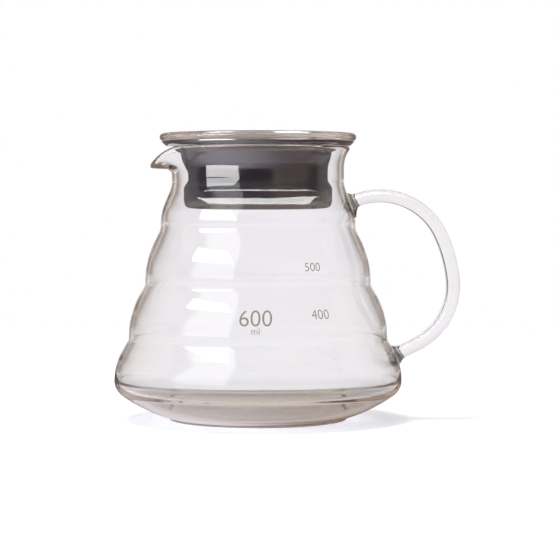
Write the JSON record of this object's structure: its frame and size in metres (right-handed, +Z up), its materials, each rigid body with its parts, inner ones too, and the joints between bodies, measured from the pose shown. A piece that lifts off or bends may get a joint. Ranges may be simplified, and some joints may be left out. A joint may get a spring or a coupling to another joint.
{
  "type": "coffee server carafe",
  "caption": "Glass coffee server with a stepped, flaring body, a pulled pouring spout, a fused glass strap handle and a lift-off glass lid on a dark stopper ring.",
  "frame": {"origin": "centre of the flat foot, on the table", "axes": "+Z up along the carafe's axis, +X towards the handle, spout towards -X"},
  "size_m": [0.1413, 0.1176, 0.117],
  "materials": {
    "carafe_glass": "clear, fire polished",
    "handle_glass": "clear, fire polished",
    "lid_glass": "clear, pressed",
    "stopper_silicone": "smoky, glossy, slightly see-through"
  },
  "bodies": {
    "carafe": {"carafe_body": "carafe_glass", "handle": "handle_glass"},
    "lid": {"lid_glass": "lid_glass", "lid_seal": "stopper_silicone"}
  },
  "joints": [
    {"name": "lid_lift", "type": "slide", "parent": "carafe", "child": "lid", "axis": [0, 0, 1], "range_m": [0, 0.045]}
  ]
}
